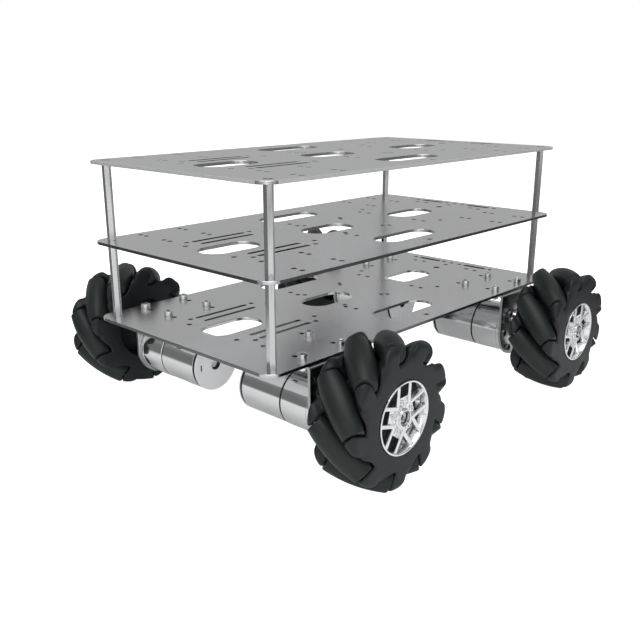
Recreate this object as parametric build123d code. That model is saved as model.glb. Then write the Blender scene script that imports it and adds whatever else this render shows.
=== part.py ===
from build123d import *
import os
from math import cos, radians, sin

# Four wheel robot chassis: three drilled aluminium decks on hexagonal standoffs, four gearmotors
# hung under the lowest deck on L brackets, and four roller (mecanum) wheels.
# Millimetres. Origin on the ground under the middle of the decks, +X forward, +Y left, +Z up.

os.makedirs("parts", exist_ok=True)

# ---- decks ----
plate_length = 310.0
plate_width = 170.0
plate_thickness = 2.0
plate_corner_r = 10.0
bottom_plate_z = 66.1  # underside of the lowest deck
standoff_length = 50.0
deck_pitch = standoff_length + plate_thickness
post_x, post_y = 145.0, 75.8  # standoff positions
screw_hole_r = 1.6  # M3 clearance
thread_r = 1.5  # M3

# ---- hole pattern, the same in every deck ----
bracket_hole_x = (88.65, 121.7)
bracket_screw_y = (77.1, 50.4)  # holes that carry the motor brackets
bracket_spare_y = (70.5, 44.0)  # second pair for a longer bracket
front_holes = ((63.0, 31.9), (55.4, 23.6), (117.2, 32.2), (124.9, 23.4))
middle_holes = ((22.5, 32.4), (23.5, 23.7), (20.2, 19.8), (-23.7, 24.1), (-20.4, 20.6), (0.0, 76.3))
rear_holes = ((-67.7, 38.4), (-55.8, 31.2), (-56.1, 22.2), (-133.3, 30.7), (-134.4, 21.9))
rear_edge_x = -145.0
rear_edge_y = (38.4, 8.0)
rear_slot_y, rear_slot_length, rear_slot_width = 23.0, 21.0, 4.0
centre_line_holes = ((-136.1, screw_hole_r), (-121.7, 2.5), (rear_edge_x, screw_hole_r))
thin_slot_x, thin_slot_length, thin_slot_width = 90.5, 45.0, 3.0
thin_slot_y = (31.5, 22.5)
window_x = (108.4, 16.8, -80.6)  # wide windows on the centre line
window_length, window_width = 45.0, 23.0
side_window_y, side_window_length, side_window_width = 56.0, 56.0, 20.0

# ---- standoffs and their screws ----
standoff_flats = 5.0
stud_length = 6.0  # threaded stud above the lower standoffs
standoff_bore_depth = 10.0
countersink_r, countersink_depth = 2.75, 1.6
pan_head_r, pan_head_height = 2.75, 2.0

# ---- deck screws that hold the brackets ----
cap_head_r, cap_head_height = 3.1, 3.4
socket_r, socket_depth = 1.3, 1.8
nut_flats, nut_height = 5.5, 2.4
screw_tail = 1.0  # thread left below the nut

# ---- wheels ----
wheel_r = 44.4
wheel_x = 105.2
wheel_y = 121.0  # middle of the wheel's width
wheel_half_width = 17.6
roller_count = 9
roller_axis_r = 36.0  # wheel axis to roller axis
roller_skew = 45.0
roller_half_length = 19.0
roller_mid_r = wheel_r - roller_axis_r
roller_end_r = 6.1
roller_bore_r = 1.05
roller_phase = 21.0  # degrees from straight ahead to the first roller
roller_gap = 0.5  # hub to roller
pin_r, pin_half_length = 1.0, 21.5

# ---- wheel hub ----
flange_r, flange_shoulder_r = 43.8, 6.0
disc_r = 32.4  # solid part of the flange, between the lobes
lobe_r, lobe_drop = 6.6, 1.0  # lobes carry on past the rollers' ends, a little nearer the axle
lobe_start, lobe_end = 19.5, 28.5  # along the roller's axis
flange_inner_y = 9.2
drum_r = 26.7
pocket_r = 21.6
web_half = 5.0

# ---- rim ----
rim_r, rim_lip_r = 21.5, 20.3
rim_front_y = wheel_half_width + 0.2
well_r, well_y = 17.9, 10.5  # the wall inside the lip tapers down to here
spoke_pairs = 5
rim_phase = 23.0
spoke_offset, spoke_width, spoke_depth = 4.0, 1.9, 3.2
star_inner_r, star_inner_y = 5.5, 15.9  # the star is dished: high at the boss, low at the wall
star_outer_r, star_outer_y = 18.0, 11.6
panel_drop, panel_thickness = 2.1, 1.1  # plate between the two spokes of a pair
panel_window = (11.2, 16.6, 4.4)  # from radius, to radius, width
lug_x, lug_r, lug_hole_r, lug_drop = 8.4, 1.6, 0.75, 0.5
rim_hub_r, rim_hub_front_y = 5.0, 17.6
rim_cup_r, rim_cup_floor_y = 3.95, 12.9

# ---- axle ----
shaft_r = 3.0
coupling_r = 6.0
coupling_back = 27.0
shaft_end_in_hub = 6.0
centre_screw_r, centre_head_r, centre_head_height = 2.0, 3.5, 2.6

# ---- gearmotors ----
motor_z = 35.5  # motor axis; the output shaft sits above it, on the wheel's axis
motor_r, can_r, cap_r, neck_r = 18.5, 18.3, 18.3, 17.0
bracket_inner_y = 84.0
bracket_thickness = 2.0
gearbox_length = 24.5
can_end_y = 24.0
cap_inner_y, cap_outer_y = 22.9, 22.2
boss_r, boss_length = 5.8, 6.0
shaft_bore_r = shaft_r + 0.05
shaft_bore_depth = 14.5
gearbox_screw_pcd_r, gearbox_screw_count = 15.5, 6
gearbox_screw_bite = 4.0
cap_recess_r = 4.0
bearing_boss_r, bearing_boss_y = 2.8, 23.3
terminal_x, terminal_width, terminal_height = 12.6, 1.0, 4.2

# ---- brackets ----
bracket_half_width = 20.0
flange_length = 41.0
flange_corner_r = 3.0
bend_r = 2.0

CORNERS = {
    "front_left": (1, 1),
    "front_right": (1, -1),
    "rear_left": (-1, 1),
    "rear_right": (-1, -1),
}


def mirrored(points):
    """Each point and its twin across the centre line."""
    twins = []
    for x, y in points:
        twins += [(x, y), (x, -y)]
    return twins


def write(shape, node):
    """One STEP per node."""
    export_step(shape, f"parts/{node}.step")


def at_corner(shape, side_x, side_y):
    """Place a shape modelled beside a wheel at +Y onto one corner of the chassis."""
    turned = Rot(0, 0, 0 if side_y > 0 else 180) * shape
    return Pos(side_x * wheel_x, 0, 0) * turned


def four_corners(shape):
    return Compound(children=[at_corner(shape, sx, sy) for sx, sy in CORNERS.values()])


def post_points():
    return [(sx * post_x, sy * post_y) for sx, sy in CORNERS.values()]


# ---------------------------------------------------------------- decks


def plate_cutouts():
    """Every hole, thin slot and window of a deck, as 2-D shapes."""
    bracket_holes = [(x, y) for x in bracket_hole_x for y in bracket_screw_y + bracket_spare_y]
    bracket_holes += [(-x, y) for x, y in bracket_holes]
    rear_edge = [(rear_edge_x, y) for y in rear_edge_y]
    small = mirrored(bracket_holes + list(front_holes + middle_holes + rear_holes) + rear_edge)
    cutouts = [Pos(x, y) * Circle(screw_hole_r) for x, y in small]
    cutouts += [Pos(x, 0) * Circle(r) for x, r in centre_line_holes]
    thin = SlotOverall(thin_slot_length, thin_slot_width)
    cutouts += [Pos(x, y) * thin for x, y in mirrored([(thin_slot_x, y) for y in thin_slot_y])]
    rear_slot = Rot(0, 0, 90) * SlotOverall(rear_slot_length, rear_slot_width)
    cutouts += [Pos(x, y) * rear_slot for x, y in mirrored([(rear_edge_x, rear_slot_y)])]
    cutouts += [Pos(x, 0) * SlotOverall(window_length, window_width) for x in window_x]
    side = SlotOverall(side_window_length, side_window_width)
    cutouts += [Pos(x, y) * side for x, y in mirrored([(0.0, side_window_y)])]
    return cutouts


def plate(underside_z, countersunk=False):
    """One deck. The top deck's post holes are countersunk."""
    outline = RectangleRounded(plate_length, plate_width, plate_corner_r)
    posts = [Pos(x, y) * Circle(screw_hole_r) for x, y in post_points()]
    deck = extrude(outline - plate_cutouts() - posts, plate_thickness)
    if countersunk:
        sink = Cone(screw_hole_r, countersink_r, countersink_depth)
        sink_z = plate_thickness - countersink_depth / 2
        deck -= [Pos(x, y, sink_z) * sink for x, y in post_points()]
    return Pos(0, 0, underside_z) * deck


# ---------------------------------------------------------------- standoffs


def hexagon(flats, height):
    """Hexagonal bar with two flats facing forward and back."""
    return extrude(RegularPolygon(flats / 2, 6, major_radius=False), height)


def rod(r, height):
    return extrude(Circle(r), height)


def lower_standoff():
    body = hexagon(standoff_flats, standoff_length)
    body += Pos(0, 0, standoff_length) * rod(thread_r, plate_thickness + stud_length)
    return body - rod(thread_r, standoff_bore_depth)


def upper_standoff():
    body = hexagon(standoff_flats, standoff_length) - rod(thread_r, standoff_bore_depth)
    return body - Pos(0, 0, standoff_length - standoff_bore_depth) * rod(thread_r, standoff_bore_depth)


def standoffs(one, base_z):
    return Compound(children=[Pos(x, y, base_z) * one for x, y in post_points()])


def countersunk_screw():
    """Top deck screw, its flat head level with z = 0."""
    head = Pos(0, 0, -countersink_depth / 2) * Cone(thread_r, countersink_r - 0.1, countersink_depth)
    shank = Pos(0, 0, -8) * rod(thread_r, 8 - countersink_depth)
    socket = Pos(0, 0, -1.0) * hexagon(2.0, 1.0)
    return head + shank - socket


def pan_screw(shank_length):
    """Pan head below z = 0, shank above it."""
    head = Pos(0, 0, -pan_head_height) * rod(pan_head_r, pan_head_height)
    head = fillet(head.edges().sort_by(Axis.Z)[0], 0.9)
    socket = Pos(0, 0, -pan_head_height) * hexagon(2.0, 1.1)
    return head + rod(thread_r, shank_length) - socket


def standoff_screws():
    top_z = bottom_plate_z + 2 * deck_pitch + plate_thickness
    top = [Pos(x, y, top_z) * countersunk_screw() for x, y in post_points()]
    low = [Pos(x, y, bottom_plate_z) * pan_screw(plate_thickness + 6) for x, y in post_points()]
    return Compound(children=top + low)


# ---------------------------------------------------------------- bracket screws


def cap_screw_and_nut():
    """Socket cap screw standing on the deck (z = 0) and the nut under the bracket flange."""
    grip = plate_thickness + bracket_thickness
    reach = grip + nut_height + screw_tail
    head = rod(cap_head_r, cap_head_height)
    head = fillet(head.edges().sort_by(Axis.Z)[-1], 0.4)
    socket = Pos(0, 0, cap_head_height - socket_depth) * hexagon(2 * socket_r, socket_depth)
    screw = head + Pos(0, 0, -reach) * rod(thread_r, reach) - socket
    nut = hexagon(nut_flats, nut_height) - rod(thread_r, nut_height)
    return [screw, Pos(0, 0, -grip - nut_height) * nut]


def bracket_screws():
    pieces = []
    for sx, sy in CORNERS.values():
        for x in bracket_hole_x:
            for y in bracket_screw_y:
                place = Pos(sx * x, sy * y, bottom_plate_z + plate_thickness)
                pieces += [place * piece for piece in cap_screw_and_nut()]
    return Compound(children=pieces)


# ---------------------------------------------------------------- motors and brackets


def along_y(shape, start_y, z):
    """Turn a shape modelled along +Z so that it runs towards +Y from start_y, at height z."""
    return Pos(0, start_y, z) * Rot(-90, 0, 0) * shape


def gearbox_screw_points():
    """(x, z) of the gearbox's face screws, evenly spaced round the motor axis."""
    angles = [radians(360 / gearbox_screw_count * k) for k in range(gearbox_screw_count)]
    return [
        (gearbox_screw_pcd_r * cos(a), motor_z + gearbox_screw_pcd_r * sin(a)) for a in angles
    ]


def motor_bracket():
    """L bracket: a flange under the lowest deck and a rounded plate that carries the gearbox."""
    outer_y = bracket_inner_y + bracket_thickness
    flange_z = bottom_plate_z - bracket_thickness
    flange = Pos(0, outer_y - flange_length / 2, flange_z) * extrude(
        Rectangle(2 * bracket_half_width, flange_length), bracket_thickness
    )
    inner_corners = flange.edges().filter_by(Axis.Z).sort_by(Axis.Y)[:2]
    flange = fillet(inner_corners, flange_corner_r)
    wall_height = bottom_plate_z - motor_z
    wall = rod(bracket_half_width, bracket_thickness) + Pos(0, -wall_height / 2) * extrude(
        Rectangle(2 * bracket_half_width, wall_height), bracket_thickness
    )
    bracket = flange + along_y(wall, bracket_inner_y, motor_z)
    bend = bracket.edges().filter_by(Axis.X).filter_by_position(Axis.Y, outer_y - 0.1, outer_y + 0.1)
    bracket = fillet(bend.sort_by(Axis.Z)[-1], bend_r)
    holes = [along_y(rod(boss_r + 0.3, bracket_thickness), bracket_inner_y, wheel_r)]
    for x, z in gearbox_screw_points():
        holes.append(along_y(Pos(x, 0) * rod(screw_hole_r, bracket_thickness), bracket_inner_y, z))
    for x in bracket_hole_x:
        for y in bracket_screw_y:
            holes.append(Pos(x - wheel_x, y, flange_z) * rod(screw_hole_r, bracket_thickness))
    return bracket - holes


def gearbox():
    """Gear housing behind the bracket, with the eccentric bearing boss of the output shaft."""
    body = rod(motor_r, gearbox_length)
    body = chamfer(body.edges().sort_by(Axis.Z)[0], 0.4)
    body = fillet(body.edges().sort_by(Axis.Z)[-1], 0.8)
    body = along_y(body, bracket_inner_y - gearbox_length, motor_z)
    body += along_y(rod(boss_r, boss_length), bracket_inner_y, wheel_r)
    bore_y = bracket_inner_y - shaft_bore_depth
    body -= along_y(rod(shaft_bore_r, shaft_bore_depth + boss_length), bore_y, wheel_r)
    for x, z in gearbox_screw_points():
        bite_y = bracket_inner_y - gearbox_screw_bite
        body -= along_y(Pos(x, 0) * rod(thread_r, gearbox_screw_bite), bite_y, z)
    return body


def motor_can():
    length = bracket_inner_y - gearbox_length - can_end_y
    body = rod(can_r, length)
    body = chamfer(body.edges().sort_by(Axis.Z)[0], 0.5)
    body = along_y(body, can_end_y, motor_z)
    return body + along_y(rod(bearing_boss_r, can_end_y - bearing_boss_y), bearing_boss_y, motor_z)


def motor_end_cap():
    """End disc on a narrower neck, with a round recess over the rear bearing and two terminal slots."""
    disc = along_y(rod(cap_r, cap_inner_y - cap_outer_y), cap_outer_y, motor_z)
    neck = along_y(rod(neck_r, can_end_y - cap_inner_y), cap_inner_y, motor_z)
    depth = can_end_y - cap_outer_y
    cap = disc + neck - along_y(rod(cap_recess_r, depth), cap_outer_y, motor_z)
    slot = extrude(Rectangle(terminal_width, terminal_height), depth / 2)
    for x in (-terminal_x, terminal_x):
        cap -= along_y(Pos(x, 0) * slot, cap_outer_y, motor_z)
    return cap


def gearbox_screw_set():
    """The face screws that hold one gearbox to its bracket."""
    shank = bracket_thickness + gearbox_screw_bite - 0.5
    screw = rod(pan_head_r, pan_head_height)
    screw = fillet(screw.edges().sort_by(Axis.Z)[-1], 0.9)
    screw += Pos(0, 0, -shank) * rod(thread_r, shank)
    screw -= Pos(0, 0, pan_head_height - 1.1) * hexagon(2.0, 1.1)
    face_y = bracket_inner_y + bracket_thickness
    return [along_y(Pos(x, 0) * screw, face_y, z) for x, z in gearbox_screw_points()]


# ---------------------------------------------------------------- wheel, about the Y axis


def about_y(points_and_arcs):
    """Solid of revolution about Y from a closed outline in the XY plane."""
    return revolve(make_face(points_and_arcs), Axis.Y)


def roller_shape(growth=0.0):
    """Barrel along Y whose outline follows the wheel's round envelope."""
    end_y = roller_half_length + growth
    end_r, mid_r = roller_end_r + growth, roller_mid_r + growth
    outline = [
        Line((0, -end_y), (end_r, -end_y)),
        ThreePointArc((end_r, -end_y), (mid_r, 0), (end_r, end_y)),
        Line((end_r, end_y), (0, end_y)),
        Line((0, end_y), (0, -end_y)),
    ]
    return about_y(outline)


def pin_shape(r, half_length):
    return Rot(90, 0, 0) * Pos(0, 0, -half_length) * rod(r, 2 * half_length)


def roller_places():
    """Where each roller sits: round the wheel, out to its axis, and skewed."""
    step = 360 / roller_count
    return [
        Rot(0, -(roller_phase + step * k), 0) * Pos(roller_axis_r, 0, 0) * Rot(-roller_skew, 0, 0)
        for k in range(roller_count)
    ]


def roller():
    return roller_shape() - pin_shape(roller_bore_r, roller_half_length + 1)


def wheel_envelope():
    """The round-shouldered outline that the lobes are trimmed to."""
    face, shoulder = wheel_half_width, flange_shoulder_r
    arc_x, arc_y = flange_r - shoulder, face - shoulder
    bulge = shoulder * sin(radians(45))
    return about_y([
        Line((0, face), (arc_x, face)),
        ThreePointArc((arc_x, face), (arc_x + bulge, arc_y + bulge), (flange_r, arc_y)),
        Line((flange_r, arc_y), (flange_r, -arc_y)),
        ThreePointArc((flange_r, -arc_y), (arc_x + bulge, -arc_y - bulge), (arc_x, -face)),
        Polyline((arc_x, -face), (0, -face), (0, face)),
    ])


def hub_blank():
    """Drum, web and two plain discs."""
    face = wheel_half_width
    return about_y([Polyline(
        (pocket_r, face), (disc_r, face), (disc_r, flange_inner_y), (drum_r, flange_inner_y),
        (drum_r, -flange_inner_y), (disc_r, -flange_inner_y), (disc_r, -face), (pocket_r, -face),
        (pocket_r, -web_half), (coupling_r, -web_half), (coupling_r, web_half), (pocket_r, web_half),
        (pocket_r, face),
    )])


def lobe_rods():
    """The round bars past both ends of every roller."""
    rods = []
    length = lobe_end - lobe_start
    for place in roller_places():
        for side in (0, 180):
            rods.append(place * Pos(-lobe_drop, 0, 0) * Rot(90 + side, 0, 0) * Pos(0, 0, lobe_start)
                        * rod(lobe_r, length))
    return rods


def wheel_hub():
    """Drum and web with two flanges, each a disc with a lobe past every roller's end."""
    lobes = [bar & wheel_envelope() for bar in lobe_rods()]
    cutters = [place * roller_shape(roller_gap) for place in roller_places()]
    cutters += [place * pin_shape(pin_r, pin_half_length) for place in roller_places()]
    core = about_y([Polyline(
        (0, wheel_half_width + 1), (pocket_r, wheel_half_width + 1), (pocket_r, -wheel_half_width - 1),
        (0, -wheel_half_width - 1), (0, wheel_half_width + 1),
    )])
    return hub_blank() + [lobe - core for lobe in lobes] - cutters


def dished_bar(half_width, drop, depth):
    """Bar from the boss to the wall whose top follows the dished star, a drop below it."""
    slope = (star_outer_y - star_inner_y) / (star_outer_r - star_inner_r)
    inner, outer = rim_hub_r - 1.0, well_r + 0.8
    inner_y = star_inner_y + slope * (inner - star_inner_r) - drop
    outer_y = star_inner_y + slope * (outer - star_inner_r) - drop
    side = Polyline(
        (inner, inner_y), (outer, outer_y), (outer, outer_y - depth), (inner, inner_y - depth),
        (inner, inner_y),
    )
    return extrude(make_face(side), amount=half_width, both=True)


def spoke_pair():
    """Two parallel spokes with a lower windowed plate and a lug between them, pointing along +X."""
    pair = dished_bar(spoke_offset, panel_drop, panel_thickness)
    start, end, width = panel_window
    pair -= Pos((start + end) / 2, star_inner_y - 4, 0) * Box(end - start, 12, width)
    for side in (-1, 1):
        pair += Pos(0, 0, side * spoke_offset) * dished_bar(spoke_width / 2, 0, spoke_depth)
    lug_top = star_inner_y - lug_drop - 1.0
    pair += Pos(lug_x, 0, 0) * along_y(rod(lug_r, spoke_depth), lug_top - spoke_depth, 0)
    return pair - Pos(lug_x, 0, 0) * along_y(rod(lug_hole_r, 2.0), lug_top - 2.0, 0)


def rim():
    """Bright rim: tapering barrel, centre boss with a screw cup, and five pairs of dished spokes."""
    barrel = [Polyline(
        (rim_r, web_half), (rim_r, rim_front_y), (rim_lip_r, rim_front_y), (well_r, well_y),
        (well_r, web_half), (rim_r, web_half),
    )]
    bore = centre_screw_r + 0.2
    boss = [Polyline(
        (rim_hub_r, web_half), (rim_hub_r, rim_hub_front_y), (bore, rim_hub_front_y), (bore, web_half),
        (rim_hub_r, web_half),
    )]
    body = about_y(barrel) + about_y(boss)
    for k in range(spoke_pairs):
        body += Rot(0, -(rim_phase + 360 / spoke_pairs * k), 0) * spoke_pair()
    cup = along_y(rod(rim_cup_r, rim_hub_front_y - rim_cup_floor_y), rim_cup_floor_y, 0)
    return body - cup - along_y(rod(bore, rim_hub_front_y), web_half, 0)


def axle_set():
    """Output shaft, coupling, centre screw and roller pins: the steel pieces that turn with a wheel."""
    shaft_back = wheel_y - bracket_inner_y + shaft_bore_depth - 0.5
    shaft = along_y(rod(shaft_r, shaft_back - shaft_end_in_hub), -shaft_back, 0)
    shaft_seat = coupling_back - shaft_end_in_hub
    coupling = along_y(rod(coupling_r, coupling_back + web_half), -coupling_back, 0)
    coupling -= along_y(rod(shaft_r, shaft_seat), -coupling_back, 0)
    coupling -= along_y(rod(centre_screw_r, shaft_end_in_hub + web_half), -shaft_end_in_hub, 0)
    reach = rim_cup_floor_y + shaft_end_in_hub - 1
    head = rod(centre_head_r, centre_head_height) - Pos(0, 0, 1) * hexagon(3.0, centre_head_height)
    screw = head + Pos(0, 0, -reach) * rod(centre_screw_r, reach)
    screw = along_y(screw, rim_cup_floor_y, 0)
    pins = [place * pin_shape(pin_r, pin_half_length) for place in roller_places()]
    return [shaft, coupling, screw] + pins


def wheel_place(side_x, side_y):
    """From the wheel's own frame, outer face towards +Y, to its corner of the chassis."""
    turn = Rot(0, 0, 0 if side_y > 0 else 180)
    return Pos(side_x * wheel_x, side_y * wheel_y, wheel_r) * turn


# ---------------------------------------------------------------- write every node

write(plate(bottom_plate_z), "bottom_plate")
write(plate(bottom_plate_z + deck_pitch), "middle_plate")
write(plate(bottom_plate_z + 2 * deck_pitch, countersunk=True), "top_plate")
write(standoffs(lower_standoff(), bottom_plate_z + plate_thickness), "lower_standoffs")
write(standoffs(upper_standoff(), bottom_plate_z + deck_pitch + plate_thickness), "upper_standoffs")
write(standoff_screws(), "standoff_screws")
write(bracket_screws(), "bracket_screws")
write(four_corners(motor_bracket()), "motor_brackets")
write(four_corners(gearbox()), "gearboxes")
write(four_corners(motor_can()), "motor_cans")
write(four_corners(motor_end_cap()), "motor_end_caps")
write(
    Compound(children=[at_corner(s, sx, sy) for sx, sy in CORNERS.values() for s in gearbox_screw_set()]),
    "gearbox_screws",
)

hub_solid, rim_solid, roller_solid, axle_solids = wheel_hub(), rim(), roller(), axle_set()
for corner, (side_x, side_y) in CORNERS.items():
    place = wheel_place(side_x, side_y)
    write(place * hub_solid, f"{corner}_hub")
    write(place * rim_solid, f"{corner}_rim")
    write(Compound(children=[place * piece for piece in axle_solids]), f"{corner}_axle_and_pins")
    for number, roller_place in enumerate(roller_places(), 1):
        write(place * roller_place * roller_solid, f"{corner}_roller_{number}")
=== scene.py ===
import math
import random

import bpy
import numpy as np
from mathutils import Matrix, Vector
from mathutils.geometry import delaunay_2d_cdt


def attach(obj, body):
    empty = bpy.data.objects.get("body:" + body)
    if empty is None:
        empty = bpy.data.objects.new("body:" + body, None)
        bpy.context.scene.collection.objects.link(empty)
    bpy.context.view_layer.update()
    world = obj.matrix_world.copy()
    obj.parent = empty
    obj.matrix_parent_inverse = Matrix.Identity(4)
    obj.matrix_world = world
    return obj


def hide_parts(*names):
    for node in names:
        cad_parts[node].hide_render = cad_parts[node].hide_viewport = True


# Four wheel robot chassis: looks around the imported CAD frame. Shapes are worked out in millimetres
# and written to meshes in metres, in the frame's own axes (+X forward, +Y left, +Z up, ground at 0).

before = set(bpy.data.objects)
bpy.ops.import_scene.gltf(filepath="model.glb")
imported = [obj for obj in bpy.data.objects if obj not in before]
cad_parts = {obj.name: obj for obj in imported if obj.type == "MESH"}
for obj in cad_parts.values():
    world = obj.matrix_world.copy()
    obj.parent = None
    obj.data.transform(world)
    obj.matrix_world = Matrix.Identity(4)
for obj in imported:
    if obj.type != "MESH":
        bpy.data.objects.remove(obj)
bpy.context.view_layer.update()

MM = 0.001
CORNERS = {
    "front_left": (1, 1),
    "front_right": (1, -1),
    "rear_left": (-1, 1),
    "rear_right": (-1, -1),
}


# ================================================================ mesh helpers


SHARP_ANGLE, MOULDED_SHARP_ANGLE = 32.0, 40.0  # edges that turn by more than this stay crisp


def new_object(name, verts_mm, faces):
    """A mesh object from points in millimetres, smooth apart from its sharp edges."""
    mesh = bpy.data.meshes.new(name)
    mesh.from_pydata([Vector(v) * MM for v in verts_mm], [], faces)
    mesh.validate()
    mesh.shade_smooth()
    mesh.set_sharp_from_angle(angle=math.radians(SHARP_ANGLE))
    obj = bpy.data.objects.new(name, mesh)
    bpy.context.scene.collection.objects.link(obj)
    return obj


class Solid:
    """Points and faces gathered from several simple shapes, in millimetres.

    Each face has a tag, which is the number of its material when the solid is built."""

    def __init__(self):
        self.verts = []
        self.faces = []
        self.tags = []

    def add(self, verts, faces, matrix=None):
        start = len(self.verts)
        if matrix is not None:
            verts = [matrix @ Vector(v) for v in verts]
        self.verts += [tuple(v) for v in verts]
        self.faces += [[start + i for i in face] for face in faces]
        self.tags += [0] * len(faces)

    def merge(self, other, matrix=None):
        start = len(self.verts)
        points = other.verts if matrix is None else [tuple(matrix @ Vector(v)) for v in other.verts]
        self.verts += points
        self.faces += [[start + i for i in face] for face in other.faces]
        self.tags += other.tags
        return self

    def build(self, name, materials):
        obj = new_object(name, self.verts, self.faces)
        for material in materials:
            obj.data.materials.append(material)
        if len(obj.data.polygons) == len(self.tags):
            obj.data.polygons.foreach_set("material_index", self.tags)
        return obj


def move(x=0.0, y=0.0, z=0.0):
    return Matrix.Translation((x, y, z))


def turn(degrees, axis):
    return Matrix.Rotation(math.radians(degrees), 4, axis)


TO_Y = turn(-90, "X")  # a shape modelled along +Z runs along +Y


def rounded(corners, steps=4):
    """A path of (r, z, fillet radius) corners with each corner rounded by an arc."""
    path = []
    for i, (r, z, radius) in enumerate(corners):
        here = Vector((r, z))
        if radius <= 0 or i in (0, len(corners) - 1):
            path.append((r, z))
            continue
        back = Vector(corners[i - 1][:2]) - here
        ahead = Vector(corners[i + 1][:2]) - here
        half = back.angle(ahead) / 2
        cut = min(radius / math.tan(half), 0.49 * back.length, 0.49 * ahead.length)
        a, b = here + back.normalized() * cut, here + ahead.normalized() * cut
        for k in range(steps + 1):
            t = k / steps
            point = a.lerp(here, t).lerp(here.lerp(b, t), t)
            path.append((point.x, point.y))
    return path


def lathe(path, segments=64, tag=0):
    """Turn a path of (r, z) about Z. Points on the axis close the ends."""
    solid = Solid()
    rings = []
    for r, z in path:
        if r < 1e-6:
            rings.append([len(solid.verts)])
            solid.verts.append((0.0, 0.0, z))
            continue
        rings.append(list(range(len(solid.verts), len(solid.verts) + segments)))
        for k in range(segments):
            a = 2 * math.pi * k / segments
            solid.verts.append((r * math.cos(a), r * math.sin(a), z))
    for low, high in zip(rings, rings[1:]):
        for k in range(segments):
            n = (k + 1) % segments
            if len(low) == 1 and len(high) == 1:
                continue
            if len(low) == 1:
                solid.faces.append([low[0], high[n], high[k]])
            elif len(high) == 1:
                solid.faces.append([low[k], low[n], high[0]])
            else:
                solid.faces.append([low[k], low[n], high[n], high[k]])
    solid.tags = [tag] * len(solid.faces)
    return solid


def ring(path, segments=64, tag=0):
    """Turn a closed path, such as a washer's section, about Z."""
    return lathe(list(path) + [path[0]], segments, tag)


def join_levels(solid, levels):
    """Add a stack of loops of equally many points, each joined to the next by a band of faces."""
    segments = len(levels[0])
    for level in levels:
        solid.verts += level
    for i in range(len(levels) - 1):
        a, b = i * segments, (i + 1) * segments
        for k in range(segments):
            n = (k + 1) % segments
            solid.faces.append([a + k, a + n, b + n, b + k])
    solid.tags = [0] * len(solid.faces)


def socket_bar(outline_path, flats, socket_path):
    """A turned head whose top opens into a hexagonal socket.

    outline_path is the (r, z) of the levels from the bottom up to the top's outer edge; socket_path
    is the (share of the flats, z) of the hexagon's levels, from the mouth down."""
    sides, per_side = 6, 6
    segments = sides * per_side
    solid = Solid()

    def level(radius_at, z):
        angles = [2 * math.pi * k / segments for k in range(segments)]
        return [(radius_at(a) * math.cos(a), radius_at(a) * math.sin(a), z) for a in angles]

    def hexagon(scale):
        return lambda a: scale / math.cos((a % (2 * math.pi / sides)) - math.pi / sides)

    levels = [level(lambda a: r, z) for r, z in outline_path]
    levels += [level(hexagon(flats / 2 * scale), z) for scale, z in socket_path]
    join_levels(solid, levels)
    last = (len(levels) - 1) * segments
    floor = len(solid.verts)
    solid.verts += [(0.0, 0.0, levels[-1][0][2]), (0.0, 0.0, levels[0][0][2])]
    solid.faces += [[last + k, last + (k + 1) % segments, floor] for k in range(segments)]
    solid.faces += [[(k + 1) % segments, k, floor + 1] for k in range(segments)]
    solid.tags = [0] * len(solid.faces)
    return solid


def hex_bar(flats, low, high, chamfer, bore_r=0.0, bore_low=0.0, bore_high=0.0):
    """Hexagonal bar along Z, flats facing X, chamfered round its ends, with blind bores of bore_r."""
    segments = 24
    corner_r = flats / 2 / math.cos(math.pi / 6)

    def loop(limit, z):
        points = []
        for k in range(segments):
            a = 2 * math.pi * k / segments
            local = ((a + math.pi / 6) % (math.pi / 3)) - math.pi / 6
            radius = min(flats / 2 / math.cos(local), limit)
            points.append((radius * math.cos(a), radius * math.sin(a), z))
        return points

    nearly_closed = 1e-3
    levels = [loop(nearly_closed, low + bore_low)]
    if bore_low > 0:
        levels += [loop(bore_r, low + bore_low), loop(bore_r, low)]
    levels += [loop(corner_r - chamfer, low), loop(corner_r, low + chamfer * 0.6)]
    levels += [loop(corner_r, high - chamfer * 0.6), loop(corner_r - chamfer, high)]
    if bore_high > 0:
        levels += [loop(bore_r, high), loop(bore_r, high - bore_high)]
    levels += [loop(nearly_closed, high - bore_high)]
    solid = Solid()
    join_levels(solid, levels)
    return solid


# ================================================================ moulded shapes from distance fields

THIN_RATIO = 0.4  # share of a moulded shape's triangles that is kept


def smooth_min(a, b, k):
    """Union of two fields with a fillet of about k."""
    h = np.clip(0.5 + 0.5 * (b - a) / k, 0.0, 1.0)
    return b + (a - b) * h - k * h * (1.0 - h)


def smooth_max(a, b, k):
    """Intersection of two fields with its edge rounded by about k."""
    return -smooth_min(-a, -b, k)


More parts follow.
